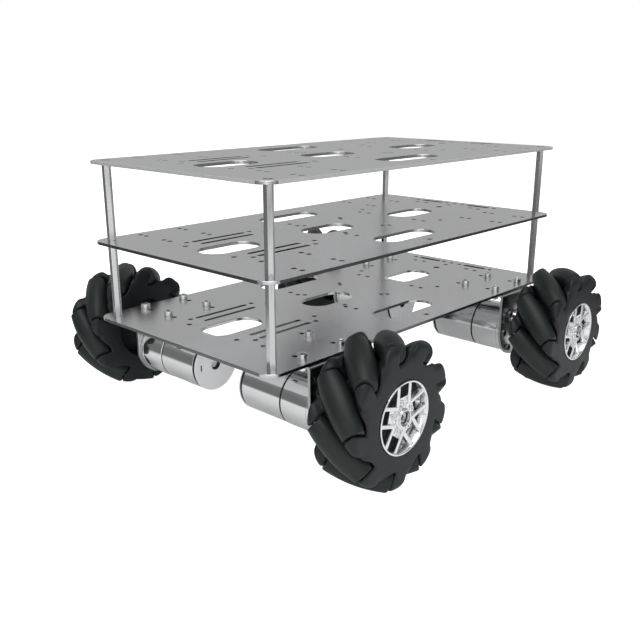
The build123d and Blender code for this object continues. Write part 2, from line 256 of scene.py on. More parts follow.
def surface_nets(field, low, high, step):
    """Quad mesh of the field's zero surface: one point in each cell that the surface crosses."""
    counts = [int(math.ceil((b - a) / step)) + 1 for a, b in zip(low, high)]
    axes = [a + step * np.arange(n) for a, n in zip(low, counts)]
    x, y, z = np.meshgrid(*axes, indexing="ij")
    values = field(x.ravel(), y.ravel(), z.ravel()).reshape(counts)
    cells = [n - 1 for n in counts]
    total = cells[0] * cells[1] * cells[2]
    sums = np.zeros((total, 3))
    hits = np.zeros(total)
    edges = []
    for axis in range(3):
        first = [slice(None)] * 3
        second = [slice(None)] * 3
        first[axis], second[axis] = slice(0, -1), slice(1, None)
        f0, f1 = values[tuple(first)], values[tuple(second)]
        crossing = np.argwhere((f0 < 0) != (f1 < 0))
        u, v = (axis + 1) % 3, (axis + 2) % 3
        inner = (crossing[:, u] > 0) & (crossing[:, v] > 0)
        inner &= (crossing[:, u] < cells[u]) & (crossing[:, v] < cells[v])
        crossing = crossing[inner]
        a = f0[tuple(crossing.T)]
        b = f1[tuple(crossing.T)]
        point = crossing.astype(float)
        point[:, axis] += a / (a - b)
        ids = []
        for du, dv in ((-1, -1), (0, -1), (0, 0), (-1, 0)):
            cell = crossing.copy()
            cell[:, u] += du
            cell[:, v] += dv
            flat = (cell[:, 0] * cells[1] + cell[:, 1]) * cells[2] + cell[:, 2]
            for c in range(3):
                sums[:, c] += np.bincount(flat, point[:, c], total)
            hits += np.bincount(flat, None, total)
            ids.append(flat)
        quad = np.stack(ids, 1)
        backwards = a > 0
        quad[backwards] = quad[backwards][:, ::-1]
        edges.append(quad)
    used = np.flatnonzero(hits)
    lookup = np.full(total, -1)
    lookup[used] = np.arange(len(used))
    verts = sums[used] / hits[used, None] * step + np.array(low)
    faces = lookup[np.concatenate(edges)]
    return settle(field, verts, step), faces


def settle(field, verts, step, rounds=3):
    """Move each point onto the field's zero surface along the field's slope."""
    h = step * 0.2
    for _ in range(rounds):
        x, y, z = verts.T
        value = field(x, y, z)
        slope = np.stack([
            field(x + h, y, z) - field(x - h, y, z),
            field(x, y + h, z) - field(x, y - h, z),
            field(x, y, z + h) - field(x, y, z - h),
        ], 1) / (2 * h)
        size = np.maximum((slope ** 2).sum(1), 0.25)
        shift = -(value / size)[:, None] * slope
        limit = 0.5 * step / np.maximum(np.linalg.norm(shift, axis=1), 1e-9)
        verts = verts + shift * np.minimum(1.0, limit)[:, None]
    return verts


def field_mesh(name, field, low, high, step):
    """Mesh data of a moulded shape, thinned where it is flat."""
    verts, faces = surface_nets(field, low, high, step)
    mesh = bpy.data.meshes.new(name)
    mesh.from_pydata((verts * MM).tolist(), [], faces.tolist())
    mesh.validate()
    obj = bpy.data.objects.new(name, mesh)
    bpy.context.scene.collection.objects.link(obj)
    thin = obj.modifiers.new("thin", "DECIMATE")
    thin.ratio = THIN_RATIO
    graph = bpy.context.evaluated_depsgraph_get()
    done = bpy.data.meshes.new_from_object(obj.evaluated_get(graph))
    bpy.data.objects.remove(obj)
    bpy.data.meshes.remove(mesh)
    done.name = name
    done.shade_smooth()
    done.set_sharp_from_angle(angle=math.radians(MOULDED_SHARP_ANGLE))
    return done


# ================================================================ wheel sizes, as in the CAD frame

WHEEL_R = 44.4
WHEEL_X, WHEEL_Y = 105.2, 121.0
WHEEL_HALF = 17.6
ROLLERS = 9
ROLLER_AXIS_R = 36.0
ROLLER_PHASE = 21.0
ROLLER_SKEW = 45.0
ROLLER_HALF = 19.0
ROLLER_MID_R = WHEEL_R - ROLLER_AXIS_R
ROLLER_END_R = 6.1
ROLLER_GAP, CHANNEL_GAP = 0.45, 0.9  # past the rollers' ends, and beside them
PIN_R, PIN_HALF = 1.0, 20.5
ROLLER_RISE = ROLLER_MID_R - ROLLER_END_R
ROLLER_ARC_R = (ROLLER_HALF ** 2 + ROLLER_RISE ** 2) / (2 * ROLLER_RISE)
RECESS_R, RECESS_DEPTH = 2.6, 0.6  # dimple in each end of a roller
PIN_GAP = 0.05


def roller_frame(x, y, z, number):
    """How far points of the wheel's frame lie along one roller's axis and from its middle."""
    theta = math.radians(ROLLER_PHASE + 360.0 / ROLLERS * number)
    c, s = math.cos(theta), math.sin(theta)
    skew = math.radians(ROLLER_SKEW)
    along = np.array([s * math.sin(skew), math.cos(skew), -c * math.sin(skew)])
    px, py, pz = x - ROLLER_AXIS_R * c, y, z - ROLLER_AXIS_R * s
    t = px * along[0] + py * along[1] + pz * along[2]
    return t, px, py, pz


def nearest_sector(x, y, z):
    """Turn every point about the wheel's axis until roller 0 is the roller nearest to it."""
    lean = np.arctan2(-y * math.tan(math.radians(ROLLER_SKEW)), ROLLER_AXIS_R)
    theta = np.arctan2(z, x) - math.radians(ROLLER_PHASE) - lean
    pitch = 2 * math.pi / ROLLERS
    back = -np.round(theta / pitch) * pitch
    c, s = np.cos(back), np.sin(back)
    return x * c - z * s, y, x * s + z * c


def roller_field(x, y, z, number, growth):
    """The barrel of one roller, grown by a gap."""
    t, px, py, pz = roller_frame(x, y, z, number)
    away = np.sqrt(np.maximum(px ** 2 + py ** 2 + pz ** 2 - t ** 2, 1e-9))
    arc = np.hypot(away + ROLLER_ARC_R - ROLLER_MID_R, t) - ROLLER_ARC_R
    return smooth_max(arc - growth, np.abs(t) - ROLLER_HALF - ROLLER_GAP, 0.8)


FLANGE_R, SHOULDER_R, FLANGE_INNER_Y = 44.2, 5.0, 9.3
DISC_R = 35.0  # the flange without its teeth
PETAL_HALF, PETAL_TIP = 9.8, 8.0  # half width of a tooth, and the height of its round tip
PETAL_SPREAD = 0.45  # how fast a tooth widens below its tip
DRUM_R, DRUM_HALF = 26.7, 12.0
POCKET_R, WEB_HALF, HUB_BORE_R = 21.6, 5.0, 6.0


def petal_field(x, y, z, number):
    """A broad tooth with a round tip, leaning the way its roller leans."""
    lean = np.arctan2(-y * math.tan(math.radians(ROLLER_SKEW)), ROLLER_AXIS_R)
    theta = np.arctan2(z, x) - math.radians(ROLLER_PHASE + 360.0 / ROLLERS * number) - lean
    r = np.hypot(x, z)
    u, v = r * np.cos(theta), r * np.sin(theta)
    over = u - (FLANGE_R - PETAL_TIP)
    half = PETAL_HALF + PETAL_SPREAD * np.maximum(-over, 0)
    return np.hypot(np.maximum(over, 0), v * PETAL_TIP / half) - PETAL_TIP


def rounded_disc(r, side, outer_r, corner_r):
    """A thick disc, as wide as the wheel, with rounded shoulders."""
    over_r, over_side = r - (outer_r - corner_r), side - (WHEEL_HALF - corner_r)
    outside = np.hypot(np.maximum(over_r, 0), np.maximum(over_side, 0)) - corner_r
    return outside + np.minimum(np.maximum(over_r, over_side), 0)


def hub_field(x, y, z):
    """Drum, two flanges with a tooth past each roller's end, web, and pockets on both sides."""
    x, y, z = nearest_sector(x, y, z)
    r = np.hypot(x, z)
    side = np.abs(y)
    envelope = rounded_disc(r, side, FLANGE_R, SHOULDER_R)
    flange = r - DISC_R
    for number in (-1, 0, 1):
        flange = smooth_min(flange, petal_field(x, y, z, number), 5.0)
    flange = smooth_max(flange, side - WHEEL_HALF, 5.0)
    flange = smooth_max(flange, FLANGE_INNER_Y - side, 0.8)
    flange = smooth_max(flange, envelope, 2.0)
    drum = smooth_max(r - DRUM_R, side - DRUM_HALF, 0.5)
    body = smooth_min(flange, drum, 1.2)
    for number in (-1, 0, 1):
        body = smooth_max(body, -roller_field(x, y, z, number, CHANNEL_GAP), 2.2)
    pocket = smooth_max(r - POCKET_R, WEB_HALF - side, 0.4)
    body = smooth_max(body, -pocket, 0.7)
    return smooth_max(body, HUB_BORE_R - r, 0.5)


# ================================================================ rim

RIM_R, RIM_FRONT, RIM_BACK = 21.5, 17.8, 5.0
WELL_R, LIP_R, WELL_Y = 17.9, 20.4, 10.5  # the well tapers from the lip down to WELL_Y
RIM_PHASE, SPOKE_PAIRS = 17.0, 5
SPOKE_OFFSET, SPOKE_HALF, SPOKE_DEPTH = 4.9, 1.15, 3.0
SPOKE_START, SPOKE_END = 3.0, 21.0
STAR_R, STAR_FACE = (5.5, 19.0), (16.4, 17.0)  # radii, and where the spokes' face stands there
PANEL_R, PANEL_FACE = (8.0, 18.0), (-1.5, -2.6)  # the plate between two spokes, below their face
PANEL_END, WINDOW_START, WINDOW_HALF = 19.5, 11.2, 4.2
LUG_X, LUG_R, LUG_DROP = 8.4, 1.6, 0.5
LUG_HOLE_R, LUG_HOLE_DEPTH = 0.75, 2.0
CUP_R, CUP_INNER_R, CUP_FLOOR = 5.3, 4.4, 13.0
CONE_R, RIM_BORE_R = 6.4, 2.3


def rim_field(x, y, z):
    """Rim: tapering well, star of paired spokes round a raised centre cup, lug bosses between."""
    r = np.hypot(x, z)
    sector = 2 * math.pi / SPOKE_PAIRS
    angle = np.arctan2(z, x) - math.radians(RIM_PHASE)
    angle = angle - np.round(angle / sector) * sector
    u, v = r * np.cos(angle), np.abs(r * np.sin(angle))
    well_r = np.interp(y, (WELL_Y, RIM_FRONT), (WELL_R, LIP_R))
    barrel = smooth_max(np.maximum(r - RIM_R, well_r - r), y - RIM_FRONT, 0.35)
    barrel = np.maximum(barrel, RIM_BACK - y)
    below = y - np.interp(r, STAR_R, STAR_FACE)
    spoke = smooth_max(np.abs(v - SPOKE_OFFSET) - SPOKE_HALF, below, 0.4)
    spoke = np.maximum(spoke, -SPOKE_DEPTH - below)
    spoke = np.maximum(np.maximum(spoke, r - SPOKE_END), SPOKE_START - u)
    panel_top = np.interp(r, PANEL_R, PANEL_FACE)
    panel = np.maximum(np.maximum(v - SPOKE_OFFSET, below - panel_top), -SPOKE_DEPTH - below)
    panel = np.maximum(np.maximum(panel, r - PANEL_END), -u)
    window = smooth_max(v - WINDOW_HALF, WINDOW_START - u, 0.8)
    panel = np.maximum(panel, -window)
    cone = np.maximum(np.maximum(r - CONE_R, below), RIM_BACK - y)
    star = smooth_min(smooth_min(spoke, panel, 0.3), cone, 0.6)
    lug_r = np.hypot(u - LUG_X, v)
    lug = smooth_max(lug_r - LUG_R, below + LUG_DROP, 0.3)
    lug = np.maximum(lug, -SPOKE_DEPTH - below)
    lug = np.maximum(lug, -np.maximum(lug_r - LUG_HOLE_R, -LUG_HOLE_DEPTH - below))
    star = smooth_min(star, lug, 0.25)
    cup = smooth_max(r - CUP_R, y - RIM_FRONT, 0.35)
    cup = np.maximum(cup, RIM_BACK - y)
    body = smooth_min(smooth_min(star, cup, 0.5), barrel, 0.4)
    body = smooth_max(body, -np.maximum(r - CUP_INNER_R, CUP_FLOOR - y), 0.3)
    return np.maximum(body, RIM_BORE_R - r)


# ================================================================ other wheel pieces


def roller_solid():
    """Barrel with rounded ends, a shallow end recess and a bore for its pin."""
    bore_r, floor, rim_r = PIN_R + PIN_GAP, ROLLER_HALF - RECESS_DEPTH, RECESS_R + 0.4
    path = [(bore_r, -floor, 0), (RECESS_R, -floor, 0.2), (rim_r, -ROLLER_HALF, 0.3)]
    path += [(ROLLER_END_R, -ROLLER_HALF, 0.8)]
    steps = 28
    for k in range(1, steps):
        t = -ROLLER_HALF + 2 * ROLLER_HALF * k / steps
        r = ROLLER_MID_R - ROLLER_ARC_R + math.sqrt(ROLLER_ARC_R ** 2 - t ** 2)
        path.append((r, t, 0))
    path += [(ROLLER_END_R, ROLLER_HALF, 0.8), (rim_r, ROLLER_HALF, 0.3)]
    path += [(RECESS_R, floor, 0.2), (bore_r, floor, 0)]
    return ring(rounded(path), 56)


def roller_matrix(number):
    angle = ROLLER_PHASE + 360.0 / ROLLERS * number
    return turn(-angle, "Y") @ move(ROLLER_AXIS_R) @ turn(-ROLLER_SKEW, "X") @ TO_Y


def pin_solid(matrix):
    path = [(0, -PIN_HALF, 0), (PIN_R, -PIN_HALF, 0.2), (PIN_R, PIN_HALF, 0.2), (0, PIN_HALF, 0)]
    return Solid().merge(lathe(rounded(path), 20), matrix)


SHAFT_R, COUPLING_R = 3.0, 6.0
SHAFT_BACK, COUPLING_BACK = 51.0, 27.0  # inward from the middle of the wheel's width
SHAFT_FRONT, GRUB_Y = -7.0, -19.0
SCREW_R, SCREW_START = 2.0, -5.0


def axle_solid():
    """Output shaft, coupling with its grub screws, centre screw and roller pins of one wheel."""
    solid = Solid()
    shaft = [(0, -SHAFT_BACK, 0), (SHAFT_R, -SHAFT_BACK, 0.4)]
    shaft += [(SHAFT_R, SHAFT_FRONT, 0), (0, SHAFT_FRONT, 0)]
    solid.merge(lathe(rounded(shaft), 40), TO_Y)
    sleeve = [(SHAFT_R, -COUPLING_BACK, 0), (COUPLING_R - 0.6, -COUPLING_BACK, 0)]
    sleeve += [(COUPLING_R, -COUPLING_BACK + 0.6, 0)]
    sleeve += [(COUPLING_R, -11.2, 0), (COUPLING_R - 0.5, -10.8, 0.1), (COUPLING_R - 0.5, -10.0, 0.1)]
    sleeve += [(COUPLING_R, -9.6, 0), (COUPLING_R, WEB_HALF, 0), (SHAFT_R, WEB_HALF, 0)]
    solid.merge(ring(rounded(sleeve), 56), TO_Y)
    grub_head = [(1.45, -0.9), (1.45, 0.0), (1.3, 0.12)]
    grub = socket_bar(grub_head, 1.5, [(1.15, 0.12), (1.0, 0.0), (1.0, -0.8)])
    for angle in (90, 270):
        solid.merge(grub, turn(-angle, "Y") @ move(COUPLING_R - 0.1, GRUB_Y, 0) @ turn(90, "Y"))
    head = [(SCREW_R, 0.0), (3.3, 0.0), (3.5, 0.2), (3.5, 2.2), (3.2, 2.6)]
    cap = socket_bar(head, 2.9, [(1.12, 2.6), (1.0, 2.35), (1.0, 0.9)])
    solid.merge(cap, TO_Y @ move(0, 0, CUP_FLOOR))
    shank = [(0, SCREW_START, 0), (SCREW_R, SCREW_START, 0.4)]
    shank += [(SCREW_R, CUP_FLOOR + 0.1, 0), (0, CUP_FLOOR + 0.1, 0)]
    solid.merge(lathe(rounded(shank), 32), TO_Y)
    for number in range(ROLLERS):
        solid.merge(pin_solid(roller_matrix(number)))
    return solid


def wheel_matrix(side_x, side_y):
    flip = 0 if side_y > 0 else 180
    return move(side_x * WHEEL_X, side_y * WHEEL_Y, WHEEL_R) @ turn(flip, "Z")


def placed(mesh, name, matrix_mm):
    """An object of shared mesh data, placed by a matrix given in millimetres."""
    obj = bpy.data.objects.new(name, mesh)
    bpy.context.scene.collection.objects.link(obj)
    matrix = matrix_mm.copy()
    matrix.translation = matrix_mm.translation * MM
    obj.matrix_world = matrix
    return obj


# ================================================================ sheet parts

# tags of a sheet part: its faces, straight outer edges, corners and window walls, and narrow holes
FLAT, EDGE, CORNER, HOLE = 0, 1, 2, 3
NARROW = 8.0  # a loop no wider than this is a narrow hole


def inset(loop, amount):
    """The loop moved towards the material, which lies on its left."""
    moved = []
    for i, here in enumerate(loop):
        before, after = loop[i - 1], loop[(i + 1) % len(loop)]
        a, b = (here - before).normalized(), (after - here).normalized()
        normal = Vector((-a.y - b.y, a.x + b.x))
        scale = 2.0 / max(normal.length_squared, 0.5)
        moved.append(here + normal * scale * amount)
    return moved


def inside_only(faces, coords, points, edges):
    """The triangles whose middle has an odd number of outline and hole edges to its right."""
    xy = np.array([tuple(p) for p in coords])
    middles = xy[np.array([face[:3] for face in faces])].mean(1)
    ends = np.array([tuple(p) for p in points])[np.array(edges)]
    (x0, y0), (x1, y1) = ends[:, 0].T, ends[:, 1].T
    px, py = middles[:, :1], middles[:, 1:]
    spans = (y0 > py) != (y1 > py)
    with np.errstate(divide="ignore", invalid="ignore"):
        crossing = x0 + (py - y0) / (y1 - y0) * (x1 - x0)
    odd = (spans & (crossing > px)).sum(1) % 2 == 1
    return [face for face, keep in zip(faces, odd) if keep]


def slab(loops, low, high, bevel, folds=()):
    """A flat sheet with bevelled edges. The first loop is the outline, the rest are holes.

    folds are pairs of outline point numbers joined by an edge across the sheet, where it may bend."""
    solid = Solid()
    inner = [inset(loop, bevel) for loop in loops]
    points = [p for loop in inner for p in loop]
    edges = []
    start = 0
    for loop in inner:
        count = len(loop)
        edges += [(start + k, start + (k + 1) % count) for k in range(count)]
        start += count
    found = delaunay_2d_cdt(points, edges + list(folds), [], 1, 1e-6, True)
    index = [ids[0] if ids else None for ids in found[3]]
    count = len(points)
    faces = inside_only(found[2], found[0], points, edges)
    levels = ((inner, high), (loops, high - bevel), (loops, low + bevel), (inner, low))
    for level, z in levels:
        solid.verts += [(p.x, p.y, z) for loop in level for p in loop]
    for face in faces:
        top = [index[i] for i in face]
        if None in top:
            continue
        area = sum(
            points[top[i - 1]].x * points[top[i]].y - points[top[i]].x * points[top[i - 1]].y
            for i in range(len(top))
        )
        top = top if area > 0 else top[::-1]
        solid.faces.append(top)
        solid.faces.append([3 * count + i for i in reversed(top)])
        solid.tags += [FLAT, FLAT]
    start = 0
    for loop in loops:
        n = len(loop)
        broad = min(max(p[i] for p in loop) - min(p[i] for p in loop) for i in (0, 1)) > NARROW
        for k in range(n):
            a, b = start + k, start + (k + 1) % n
            run = loop[(k + 1) % n] - loop[k]
            slanted = min(abs(run.x), abs(run.y)) > 0.1 * run.length
            tag = HOLE if not broad else CORNER if slanted or start else EDGE
            for level in range(3):
                up, down = level * count, (level + 1) * count
                solid.faces.append([up + a, down + a, down + b, up + b])
                solid.tags.append(tag)
        start += n
    return solid


def circle(x, y, r, count=28, hole=True):
    """Points round a circle, clockwise for a hole and anticlockwise for an outline."""
    sign = -1 if hole else 1
    angles = [sign * 2 * math.pi * k / count for k in range(count)]
    return [Vector((x + r * math.cos(a), y + r * math.sin(a))) for a in angles]


def top_loops(node):
    """Outline and holes of a flat plate, read from the upper face of its CAD node, in millimetres."""
    node_object = bpy.data.objects[node]
    mesh, world = node_object.data, node_object.matrix_world
    spots = [tuple(round(c / MM, 3) for c in (world @ vertex.co)[:2]) for vertex in mesh.vertices]
    directed = set()
    for polygon in mesh.polygons:
        if (world.to_3x3() @ polygon.normal).z > 0.9:
            corners = [spots[i] for i in polygon.vertices]
            directed |= {(corners[i - 1], here) for i, here in enumerate(corners)}
    ahead = {a: b for a, b in directed if (b, a) not in directed}
    loops = []
    while ahead:
        start, here = ahead.popitem()
        loop = [start]
        while here != start:
            loop.append(here)
            here = ahead.pop(here)
        loops.append([Vector(p) for p in loop])
    loops.sort(key=lambda loop: min(p.x for p in loop) - max(p.x for p in loop))
    return [tidy_loop(loop) for loop in loops]


def tidy_loop(loop):
    """A round hole gets evenly spaced points; any other outline stays as it is."""
    centre = sum(loop, Vector((0.0, 0.0))) / len(loop)
    radii = [(p - centre).length for p in loop]
    if max(radii) - min(radii) < 0.02:
        return circle(centre.x, centre.y, max(radii))
    return loop


# ================================================================ motors, brackets, screws, standoffs

MOTOR_Z = 35.5
MOTOR_R, CAN_R, CAP_R, NECK_R = 18.5, 18.3, 18.3, 17.7
WALL_Y, SHEET = 84.0, 2.0
GEARBOX_Y, CAN_END_Y, CAP_IN_Y, CAP_OUT_Y = 59.5, 25.0, 22.8, 22.2
BOSS_R, BOSS_LENGTH = 5.8, 6.0
FACE_SCREW_R, FACE_SCREWS = 15.5, 6
BEARING_R = 4.0  # round recess in the middle of an end disc
TERMINAL_X, TERMINAL_HALF_X, TERMINAL_HALF_Z = 12.6, 0.5, 2.1
PLATE_Z, PLATE_T, PITCH, POST_X, POST_Y = 66.1, 2.0, 52.0, 145.0, 75.8
HOLE_X = (88.65, 121.7)
HOLE_Y = (77.1, 50.4)
M3, M3_HOLE_R = 1.5, 1.6
STANDOFF_FLATS, STANDOFF_BORE_R, STANDOFF_BORE = 5.0, 1.35, 8.0
NUT_FLATS, NUT_HEIGHT, HEX_CHAMFER = 5.5, 2.4, 0.35


def corner_matrix(side_x, side_y):
    """From a shape modelled beside a wheel at +Y to one corner of the chassis."""
    return move(side_x * WHEEL_X) @ turn(0 if side_y > 0 else 180, "Z")


def each_corner(solid):
    whole = Solid()
    for side_x, side_y in CORNERS.values():
        whole.merge(solid, corner_matrix(side_x, side_y))
    return whole


def face_screw_points():
    step = 2 * math.pi / FACE_SCREWS
    return [
        (FACE_SCREW_R * math.cos(step * k), MOTOR_Z + FACE_SCREW_R * math.sin(step * k))
        for k in range(FACE_SCREWS)
    ]


def bracket_solid():
    """One L bracket: a flat blank with its holes, bent round a soft corner."""
    half, flange, bend_r = 20.0, 41.0, 2.0  # bend_r is the radius of the sheet's middle
    run = flange - bend_r - SHEET / 2
    bend = bend_r * math.pi / 2
    wall_top = PLATE_Z - bend_r - SHEET / 2
    axis_u = run + bend + wall_top - MOTOR_Z
    corner = 3.0
    steps, corner_steps, foot_steps = 8, 6, 36
    outline = []
    bend_us = [run + bend * k / steps for k in range(steps + 1)]
    for k in range(corner_steps + 1):  # flange corner at -X
        a = math.pi + math.pi / 2 * k / corner_steps
        outline.append(Vector((-half + corner + corner * math.cos(a), corner + corner * math.sin(a))))
    for k in range(corner_steps + 1):  # flange corner at +X
        a = 1.5 * math.pi + math.pi / 2 * k / corner_steps
        outline.append(Vector((half - corner + corner * math.cos(a), corner + corner * math.sin(a))))
    right = len(outline)
    outline += [Vector((half, u)) for u in bend_us]
    for k in range(foot_steps + 1):  # rounded foot
        a = math.pi * k / foot_steps
        outline.append(Vector((half * math.cos(a), axis_u + half * math.sin(a))))
    left = len(outline)
    outline += [Vector((-half, u)) for u in reversed(bend_us)]
    folds = [(right + k, left + steps - k) for k in range(steps + 1)]
    flange_edge = WALL_Y + SHEET - flange
    foot = run + bend + wall_top  # how far along the blank z = 0 would lie
    holes = [circle(x - WHEEL_X, y - flange_edge, M3_HOLE_R) for x in HOLE_X for y in HOLE_Y]
    holes.append(circle(0, foot - WHEEL_R, BOSS_R + 0.3, 44))
    holes += [circle(x, foot - z, M3_HOLE_R) for x, z in face_screw_points()]
    flat = slab([outline] + holes, -SHEET / 2, SHEET / 2, 0.2, folds)
    bent = []
    for x, u, w in flat.verts:
        if u <= run:
            y, z = flange_edge + u, PLATE_Z - SHEET / 2 + w
        elif u <= run + bend:
            a = (u - run) / bend_r
            y = flange_edge + run + (bend_r + w) * math.sin(a)
            z = wall_top + (bend_r + w) * math.cos(a)
        else:
            y, z = WALL_Y + SHEET / 2 + w, wall_top - (u - run - bend)
        bent.append((x, y, z))
    flat.verts = bent
    return flat


def on_motor_axis(solid):
    """A shape modelled along +Z, laid along the motor's axis."""
    return Solid().merge(solid, move(0, 0, MOTOR_Z) @ TO_Y)


def gearbox_solid():
    """Gear case with its front cover seam, and the eccentric boss that the output shaft leaves by."""
    back, front = GEARBOX_Y, WALL_Y
    seam, seam_r = front - 3.0, MOTOR_R - 0.3
    path = [(0, back, 0), (MOTOR_R - 0.5, back, 0), (MOTOR_R, back + 0.5, 0.15)]
    path += [(MOTOR_R, seam - 0.25, 0.1), (seam_r, seam - 0.1, 0), (seam_r, seam + 0.1, 0)]
    path += [(MOTOR_R, seam + 0.25, 0.1), (MOTOR_R, front, 0.9), (0, front, 0)]
    solid = on_motor_axis(lathe(rounded(path), 128))
    boss_end, bore_r, step_r = front + BOSS_LENGTH, SHAFT_R + 0.05, SHAFT_R + 0.9
    boss = [(bore_r, front - 1, 0), (BOSS_R, front - 1, 0), (BOSS_R, boss_end, 0.4)]
    boss += [(step_r, boss_end, 0.1), (step_r, boss_end - 0.5, 0.1), (bore_r, boss_end - 0.5, 0.1)]
    solid.merge(ring(rounded(boss), 56), move(0, 0, WHEEL_R) @ TO_Y)
    return solid


def can_solid():
    """Drawn can with a bearing boss at its rear (tag 0) and a dark seam at the gear case (tag 1)."""
    rear, front = CAN_END_Y, GEARBOX_Y
    step_r = CAN_R - 0.35
    path = [(0, rear - 0.8, 0), (2.8, rear - 0.8, 0.3), (2.8, rear, 0), (CAN_R, rear, 0.3)]
    path += [(CAN_R, front - 0.5, 0), (step_r, front - 0.3, 0), (step_r, front, 0), (0, front, 0)]
    shell = on_motor_axis(lathe(rounded(path), 128))
    seam = [(CAN_R - 1.0, front - 1.0), (CAN_R + 0.04, front - 1.0), (CAN_R + 0.04, front - 0.05)]
    seam += [(CAN_R - 1.0, front - 0.05)]
    shell.merge(on_motor_axis(ring(seam, 128, 1)))
    return shell


def neck_solid():
    """Dark moulded ring between the can and its end disc, with a tab in each of the disc's slots."""
    path = [(BEARING_R, CAP_IN_Y), (NECK_R, CAP_IN_Y), (NECK_R, CAN_END_Y), (BEARING_R, CAN_END_Y)]
    solid = on_motor_axis(ring(path, 96))
    for x in (-TERMINAL_X, TERMINAL_X):
        low = (x - TERMINAL_HALF_X, CAP_OUT_Y + 0.15, MOTOR_Z - TERMINAL_HALF_Z)
        solid.add(*brick(*low, x + TERMINAL_HALF_X, CAN_END_Y, MOTOR_Z + TERMINAL_HALF_Z))
    return solid


def brick(x0, y0, z0, x1, y1, z1):
    verts = [(x, y, z) for x in (x0, x1) for y in (y0, y1) for z in (z0, z1)]
    faces = [(0, 1, 3, 2), (4, 6, 7, 5), (0, 4, 5, 1), (2, 3, 7, 6), (0, 2, 6, 4), (1, 5, 7, 3)]
    return verts, faces


def cap_solid():
    """Pale end disc with a round recess over the bearing and two terminal slots."""
    loops = [circle(0, 0, CAP_R, 128, hole=False), circle(0, 0, BEARING_R, 48)]
    for x in (-TERMINAL_X, TERMINAL_X):
        signs = ((-1, -1), (-1, 1), (1, 1), (1, -1))
        loops.append([Vector((x + TERMINAL_HALF_X * i, TERMINAL_HALF_Z * j)) for i, j in signs])
    disc = slab(loops, 0, CAP_IN_Y - CAP_OUT_Y, 0.15)
    return Solid().merge(disc, move(0, CAP_OUT_Y, MOTOR_Z) @ TO_Y)


def pan_head(shank):
    """M3 screw with a low round head standing on z = 0 and its shank below."""
    head = [(M3, -shank), (M3, 0.0), (2.75, 0.0), (2.75, 0.9), (2.5, 1.5), (2.0, 1.85)]
    return socket_bar(head, 2.0, [(1.15, 1.95), (1.0, 1.8), (1.0, 0.9)])


def face_screws_solid():
    solid = Solid()
    for x, z in face_screw_points():
        solid.merge(pan_head(5.5), move(x, WALL_Y + SHEET, z) @ TO_Y)
    return each_corner(solid)


def cap_screw_solid():
    """Socket cap screw standing on the deck at z = 0, with its thread and nut below."""
    grip = PLATE_T + SHEET
    reach = grip + NUT_HEIGHT + 1.0
    head = [(M3 - 0.3, -reach), (M3, -reach + 0.3), (M3, 0.0), (2.9, 0.0)]
    head += [(3.1, 0.2), (3.1, 3.0), (2.95, 3.28), (2.65, 3.4)]
    solid = socket_bar(head, 2.6, [(1.15, 3.4), (1.0, 3.2), (1.0, 1.6)])
    solid.merge(hex_bar(NUT_FLATS, -grip - NUT_HEIGHT, -grip, HEX_CHAMFER))
    ridges = 24  # fine knurl of the head
    for k in range(ridges):
        solid.add(*brick(3.05, -0.16, 0.5, 3.16, 0.16, 2.7), turn(360 * k / ridges, "Z"))
    return solid


def deck_screws_solid():
    one = cap_screw_solid()
    solid = Solid()
    spin = random.Random(7)
    for side_x, side_y in CORNERS.values():
        for x in HOLE_X:
            for y in HOLE_Y:
                place = move(side_x * x, side_y * y, PLATE_Z + PLATE_T)
                solid.merge(one, place @ turn(spin.uniform(0, 60), "Z"))
    return solid


def standoffs_solid(base, lower):
    """Four hexagonal bars; the lower ones carry a stud through the middle deck."""
    low, high = base, base + PITCH - PLATE_T
    top_bore = 0.0 if lower else STANDOFF_BORE
    one = hex_bar(STANDOFF_FLATS, low, high, HEX_CHAMFER, STANDOFF_BORE_R, STANDOFF_BORE, top_bore)
    if lower:
        stud = rounded([(0, high, 0), (M3, high, 0), (M3, high + 8.0, 0.3), (0, high + 8.0, 0)])
        one.merge(lathe(stud, 24))
    solid = Solid()
    for side_x, side_y in CORNERS.values():
        solid.merge(one, move(side_x * POST_X, side_y * POST_Y))
    return solid


def post_screws_solid():
    """Countersunk screws level with the top deck, and pan heads under the bottom deck."""
    top_z = PLATE_Z + 2 * PITCH + PLATE_T
    path = [(M3 - 0.3, -8.0), (M3, -7.7), (M3, -1.6), (2.55, -0.25), (2.6, -0.12), (2.5, 0.0)]
    sunk = socket_bar(path, 2.2, [(1.12, 0.0), (1.0, -0.15), (1.0, -1.3)])
    solid = Solid()
    for side_x, side_y in CORNERS.values():
        x, y = side_x * POST_X, side_y * POST_Y
        solid.merge(sunk, move(x, y, top_z) @ turn(17 * side_x, "Z"))
        solid.merge(pan_head(7.0), move(x, y, PLATE_Z) @ turn(180, "X"))
    return solid


# ================================================================ materials


def nodes_of(material):
    tree = material.node_tree
    return tree.nodes, tree.links


def texture(nodes, links, kind, scale, stretch=(1, 1, 1), **settings):
    """A procedural texture in the piece's own space, which carries its metres unscaled."""
    place = nodes.new("ShaderNodeTexCoord")
    mapping = nodes.new("ShaderNodeMapping")
    mapping.inputs["Scale"].default_value = stretch
    node = nodes.new(kind)
    node.inputs["Scale"].default_value = scale
    for key, value in settings.items():
        node.inputs[key].default_value = value
    links.new(place.outputs["Object"], mapping.inputs["Vector"])
    links.new(mapping.outputs["Vector"], node.inputs["Vector"])
    return node


def spread(nodes, links, source, low, high, from_low, from_high):
    """A value mapped from one range onto another."""
    node = nodes.new("ShaderNodeMapRange")
    ends = {"From Min": from_low, "From Max": from_high, "To Min": low, "To Max": high}
    for name, value in ends.items():
        node.inputs[name].default_value = value
    links.new(source, node.inputs["Value"])
    return node.outputs["Result"]


